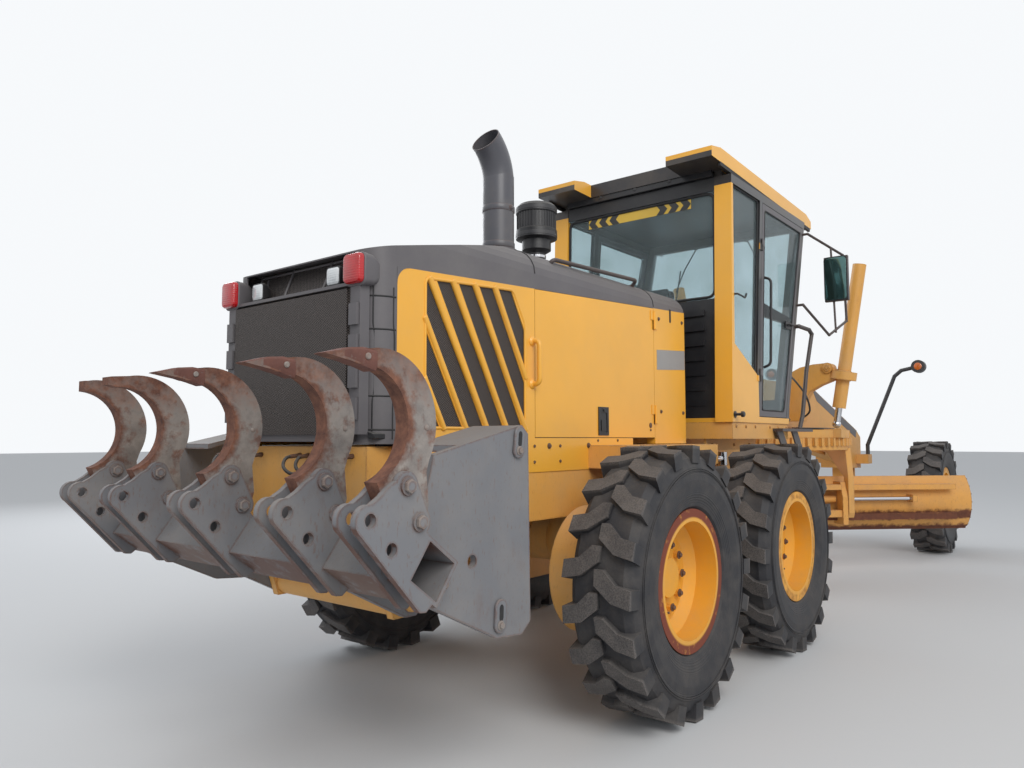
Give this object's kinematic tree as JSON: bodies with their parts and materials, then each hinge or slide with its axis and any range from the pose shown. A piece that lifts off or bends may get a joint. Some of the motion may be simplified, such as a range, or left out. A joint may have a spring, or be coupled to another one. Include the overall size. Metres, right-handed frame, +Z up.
{
  "type": "motor grader",
  "caption": "Articulated motor grader with a tandem rear axle, rear engine hood, glazed cab, gooseneck beam, circle-mounted blade and a raised rear ripper.",
  "frame": {"origin": "on the ground, in the plane of symmetry, under the middle between the two tandem wheels", "axes": "+X forward, +Y to the machine's left, +Z up"},
  "size_m": [9.9023, 2.8695, 3.4573],
  "materials": {
    "black_plastic": "matte",
    "chrome_rod": "polished",
    "dark_paint": "satin",
    "glass": "gloss",
    "grey_paint": "satin",
    "red_lens": "gloss",
    "ripper_paint": "satin",
    "seat_fabric": "matte",
    "tyre_rubber": "matte",
    "worn_steel": "matte",
    "yellow_paint": "satin"
  },
  "bodies": {
    "chassis": {"rear_frame": "yellow_paint", "tandem_axle": "yellow_paint", "engine_block": "grey_paint", "hood_top": "grey_paint", "side_panels": "yellow_paint", "screens": "dark_paint", "rear_lamps": "red_lens", "exhaust": "dark_paint", "pre_cleaner": "black_plastic"},
    "front_half": {"front_frame": "yellow_paint", "cab_shell": "yellow_paint", "cab_roof": "yellow_paint", "cab_glass": "glass", "cab_interior": "black_plastic", "seat": "seat_fabric", "front_axle": "yellow_paint", "front_lamps": "dark_paint", "mirrors_rails": "dark_paint"},
    "bend_barrel_left": {"bend_barrel_left": "dark_paint"},
    "bend_rod_left": {"bend_rod_left": "chrome_rod"},
    "bend_barrel_right": {"bend_barrel_right": "dark_paint"},
    "bend_rod_right": {"bend_rod_right": "chrome_rod"},
    "service_door_left": {"service_door_left": "yellow_paint"},
    "service_door_right": {"service_door_right": "yellow_paint"},
    "cab_door_left": {"cab_door_left": "grey_paint", "door_glass_left": "glass"},
    "cab_door_right": {"cab_door_right": "grey_paint", "door_glass_right": "glass"},
    "wheel_rear_left": {"tyre_rear_left": "tyre_rubber", "rim_rear_left": "yellow_paint"},
    "wheel_rear_right": {"tyre_rear_right": "tyre_rubber", "rim_rear_right": "yellow_paint"},
    "wheel_mid_left": {"tyre_mid_left": "tyre_rubber", "rim_mid_left": "yellow_paint"},
    "wheel_mid_right": {"tyre_mid_right": "tyre_rubber", "rim_mid_right": "yellow_paint"},
    "knuckle_left": {"knuckle_left": "yellow_paint"},
    "wheel_front_left": {"tyre_front_left": "tyre_rubber", "rim_front_left": "yellow_paint"},
    "knuckle_right": {"knuckle_right": "yellow_paint"},
    "wheel_front_right": {"tyre_front_right": "tyre_rubber", "rim_front_right": "yellow_paint"},
    "tie_rod": {"tie_rod": "dark_paint"},
    "drawbar": {"drawbar": "yellow_paint"},
    "lift_barrel_left": {"lift_barrel_left": "yellow_paint"},
    "lift_rod_left": {"lift_rod_left": "chrome_rod"},
    "lift_barrel_right": {"lift_barrel_right": "yellow_paint"},
    "lift_rod_right": {"lift_rod_right": "chrome_rod"},
    "circle": {"circle": "yellow_paint"},
    "blade_carrier": {"blade_carrier": "yellow_paint"},
    "tip_barrel": {"tip_barrel": "yellow_paint"},
    "tip_rod": {"tip_rod": "chrome_rod"},
    "moldboard": {"moldboard": "yellow_paint"},
    "ripper": {"ripper_carriage": "ripper_paint", "ripper_shanks": "worn_steel"},
    "ripper_barrels": {"ripper_barrels": "ripper_paint"},
    "ripper_rods": {"ripper_rods": "chrome_rod"}
  },
  "joints": [
    {"name": "articulation", "type": "hinge", "parent": "chassis", "child": "front_half", "pos_m": [0.62, 0, 1.115], "axis": [0, 0, 1], "range_deg": [-22.5, 22.5]},
    {"name": "bend_cylinder_left", "type": "hinge", "parent": "chassis", "child": "bend_barrel_left", "pos_m": [-0.35, 0.62, 1.23], "axis": [0, 0, 1], "range_deg": [-8.41, 8.41]},
    {"name": "bend_rod_left", "type": "slide", "parent": "bend_barrel_left", "child": "bend_rod_left", "axis": [0.9962, -0.0872, 0], "range_m": [-0.2107, 0.2107]},
    {"name": "bend_cylinder_right", "type": "hinge", "parent": "chassis", "child": "bend_barrel_right", "pos_m": [-0.35, -0.62, 1.23], "axis": [0, 0, 1], "range_deg": [-8.41, 8.41]},
    {"name": "bend_rod_right", "type": "slide", "parent": "bend_barrel_right", "child": "bend_rod_right", "axis": [0.9962, 0.0872, 0], "range_m": [-0.2107, 0.2107]},
    {"name": "service_door_left", "type": "hinge", "parent": "chassis", "child": "service_door_left", "pos_m": [0.092, 0.5394, 1.8], "axis": [0, 0, -1], "range_deg": [0, 90]},
    {"name": "service_door_right", "type": "hinge", "parent": "chassis", "child": "service_door_right", "pos_m": [0.092, -0.5394, 1.8], "axis": [0, 0, 1], "range_deg": [0, 90]},
    {"name": "cab_door_left", "type": "hinge", "parent": "front_half", "child": "cab_door_left", "pos_m": [1.348, 0.788, 2.39], "axis": [0.1013, 0, 0.9949], "range_deg": [0, 140]},
    {"name": "cab_door_right", "type": "hinge", "parent": "front_half", "child": "cab_door_right", "pos_m": [1.348, -0.788, 2.39], "axis": [-0.1013, 0, -0.9949], "range_deg": [0, 140]},
    {"name": "wheel_rear_left", "type": "hinge", "parent": "chassis", "child": "wheel_rear_left", "pos_m": [-0.786, 1.048, 0.675], "axis": [0, 1, 0], "continuous": true},
    {"name": "wheel_rear_right", "type": "hinge", "parent": "chassis", "child": "wheel_rear_right", "pos_m": [-0.786, -1.048, 0.675], "axis": [0, 1, 0], "continuous": true},
    {"name": "wheel_mid_left", "type": "hinge", "parent": "chassis", "child": "wheel_mid_left", "pos_m": [0.786, 1.048, 0.675], "axis": [0, 1, 0], "continuous": true},
    {"name": "wheel_mid_right", "type": "hinge", "parent": "chassis", "child": "wheel_mid_right", "pos_m": [0.786, -1.048, 0.675], "axis": [0, 1, 0], "continuous": true},
    {"name": "steer_left", "type": "hinge", "parent": "front_half", "child": "knuckle_left", "pos_m": [6.28, 0.885, 0.675], "axis": [0, 0, 1], "range_deg": [-45, 45]},
    {"name": "wheel_front_left", "type": "hinge", "parent": "knuckle_left", "child": "wheel_front_left", "pos_m": [6.28, 1.04, 0.675], "axis": [0, 1, 0], "continuous": true},
    {"name": "steer_right", "type": "hinge", "parent": "front_half", "child": "knuckle_right", "pos_m": [6.28, -0.885, 0.675], "axis": [0, 0, 1], "range_deg": [-45, 45]},
    {"name": "wheel_front_right", "type": "hinge", "parent": "knuckle_right", "child": "wheel_front_right", "pos_m": [6.28, -1.04, 0.675], "axis": [0, 1, 0], "continuous": true},
    {"name": "tie_rod", "type": "hinge", "parent": "knuckle_left", "child": "tie_rod", "pos_m": [6.12, 0.885, 0.504], "axis": [0, 0, 1], "range_deg": [-45, 45]},
    {"name": "blade_lift", "type": "hinge", "parent": "front_half", "child": "drawbar", "pos_m": [5.93, 0, 1.13], "axis": [0, 1, 0], "range_deg": [-20, 0]},
    {"name": "lift_cylinder_left", "type": "hinge", "parent": "front_half", "child": "lift_barrel_left", "pos_m": [3.5, 0.785, 2], "axis": [1, 0, 0], "range_deg": [-0.3, 6.42]},
    {"name": "lift_rod_left", "type": "slide", "parent": "lift_barrel_left", "child": "lift_rod_left", "axis": [0, -0.1661, -0.9861], "range_m": [-0.003, 0.8536]},
    {"name": "lift_cylinder_right", "type": "hinge", "parent": "front_half", "child": "lift_barrel_right", "pos_m": [3.5, -0.785, 2], "axis": [1, 0, 0], "range_deg": [-6.42, 0.3]},
    {"name": "lift_rod_right", "type": "slide", "parent": "lift_barrel_right", "child": "lift_rod_right", "axis": [0, 0.1661, -0.9861], "range_m": [-0.003, 0.8536]},
    {"name": "circle_turn", "type": "hinge", "parent": "drawbar", "child": "circle", "pos_m": [3.69, 0, 1.33], "axis": [0, 0, 1], "continuous": true},
    {"name": "blade_tip", "type": "hinge", "parent": "circle", "child": "blade_carrier", "pos_m": [3.36119, -0.32881, 0.64], "axis": [-0.7071, 0.7071, 0], "range_deg": [-5, 40]},
    {"name": "tip_cylinder", "type": "hinge", "parent": "circle", "child": "tip_barrel", "pos_m": [3.72535, 0.03535, 1.225], "axis": [-0.7071, 0.7071, 0], "range_deg": [-22.23, 3.04]},
    {"name": "tip_rod", "type": "slide", "parent": "tip_barrel", "child": "tip_rod", "axis": [-0.619, -0.619, -0.4833], "range_m": [-0.1032, 0.0155]},
    {"name": "blade_side_shift", "type": "slide", "parent": "blade_carrier", "child": "moldboard", "axis": [-0.7071, 0.7071, 0], "range_m": [-0.38, 0.72]},
    {"name": "ripper_swing", "type": "hinge", "parent": "chassis", "child": "ripper", "pos_m": [-2.03, 0, 0.68], "axis": [0, 1, 0], "range_deg": [-85, 0]},
    {"name": "ripper_cylinders", "type": "hinge", "parent": "chassis", "child": "ripper_barrels", "pos_m": [-1.65, 0, 1.1], "axis": [0, 1, 0], "range_deg": [-35.96, 0.3]},
    {"name": "ripper_rods", "type": "slide", "parent": "ripper_barrels", "child": "ripper_rods", "axis": [-0.9914, 0, -0.1312], "range_m": [-0.003, 0.3252]}
  ],
  "couplings": [
    {"joint": "bend_cylinder_left", "follows": "articulation", "ratio": 0.36066},
    {"joint": "bend_rod_left", "follows": "articulation", "m_per_rad": -0.52889},
    {"joint": "bend_cylinder_right", "follows": "articulation", "ratio": 0.36066},
    {"joint": "bend_rod_right", "follows": "articulation", "m_per_rad": 0.52889},
    {"joint": "steer_right", "follows": "steer_left", "ratio": 1},
    {"joint": "tie_rod", "follows": "steer_left", "ratio": -1},
    {"joint": "lift_cylinder_left", "follows": "blade_lift", "ratio": -0.30589},
    {"joint": "lift_rod_left", "follows": "blade_lift", "m_per_rad": -2.4369},
    {"joint": "lift_cylinder_right", "follows": "blade_lift", "ratio": 0.30589},
    {"joint": "lift_rod_right", "follows": "blade_lift", "m_per_rad": -2.4369},
    {"joint": "tip_cylinder", "follows": "blade_tip", "ratio": -0.54833},
    {"joint": "tip_rod", "follows": "blade_tip", "m_per_rad": -0.14346},
    {"joint": "ripper_cylinders", "follows": "ripper_swing", "ratio": 0.41953},
    {"joint": "ripper_rods", "follows": "ripper_swing", "m_per_rad": -0.21718}
  ]
}
